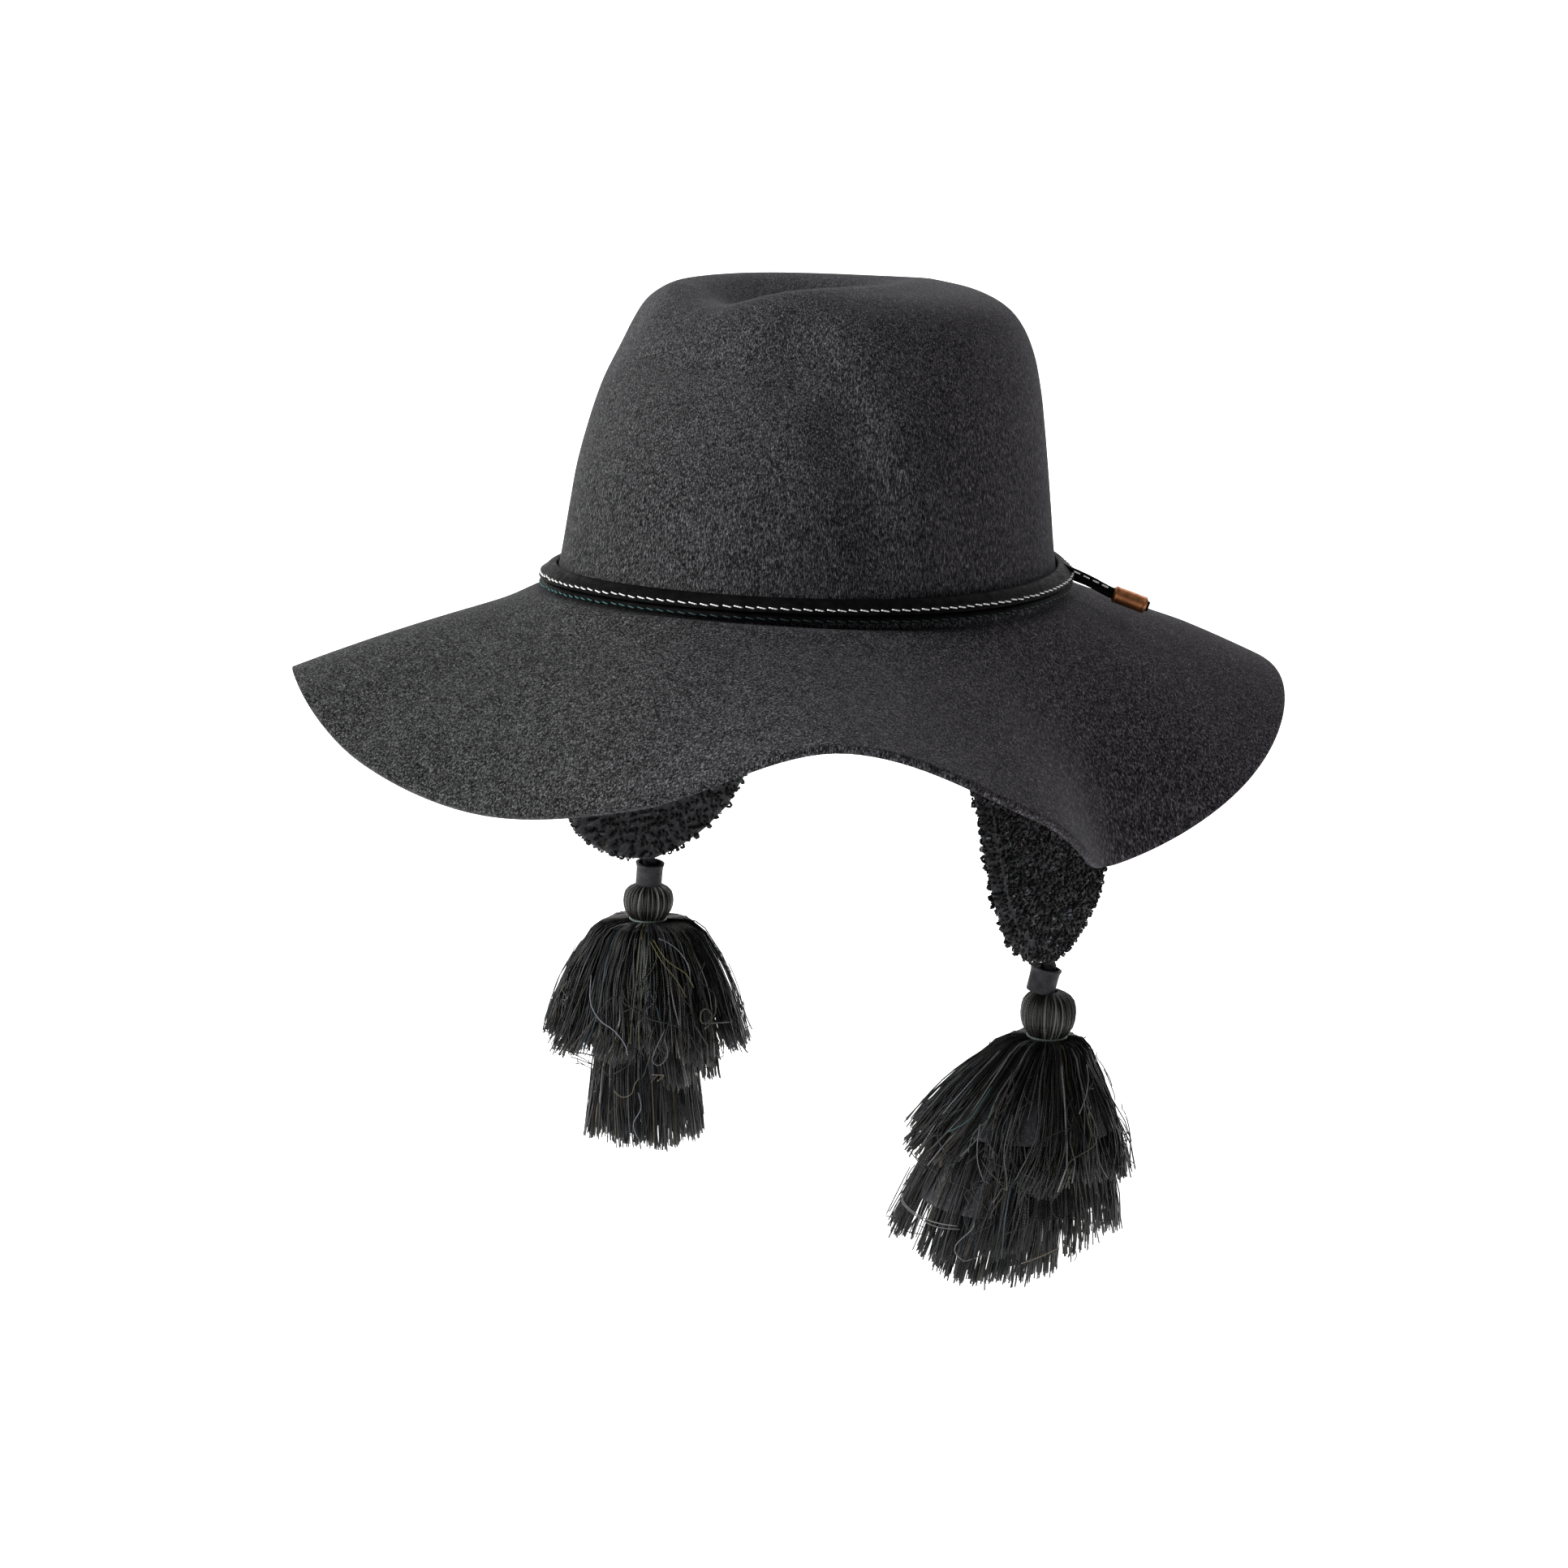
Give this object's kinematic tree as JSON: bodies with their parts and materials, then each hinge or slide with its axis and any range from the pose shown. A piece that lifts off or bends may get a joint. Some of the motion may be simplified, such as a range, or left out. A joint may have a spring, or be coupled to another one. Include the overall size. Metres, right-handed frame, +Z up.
{
  "type": "wide-brim felt hat with knitted ear flaps and tassels",
  "caption": "Wide-brim fedora-style felt hat with a creased crown, a stitched leather lace with a copper bead, knitted ear flaps and thread tassels.",
  "frame": {"origin": "centre of the head opening, level with the break between crown and brim at front and back", "axes": "-Y is the way the wearer faces, +X is the wearer's left, +Z is up"},
  "size_m": [0.2961, 0.3569, 0.3444],
  "materials": {
    "wool_felt": "matte heathered felt",
    "lace_leather": "satin grain",
    "copper": "satin",
    "boucle_knit": "looped knit",
    "sleeve_leather": "satin grain",
    "tassel_thread": "soft thread",
    "binding_thread": "soft thread"
  },
  "bodies": {
    "root": {"felt_body": "wool_felt", "leather_lace": "lace_leather", "lace_bead": "copper", "left_ear_flap": "boucle_knit", "left_tassel_sleeve": "sleeve_leather", "left_tassel": "tassel_thread", "left_tassel_binding": "binding_thread", "right_ear_flap": "boucle_knit", "right_tassel_sleeve": "sleeve_leather", "right_tassel": "tassel_thread", "right_tassel_binding": "binding_thread"}
  },
  "joints": []
}
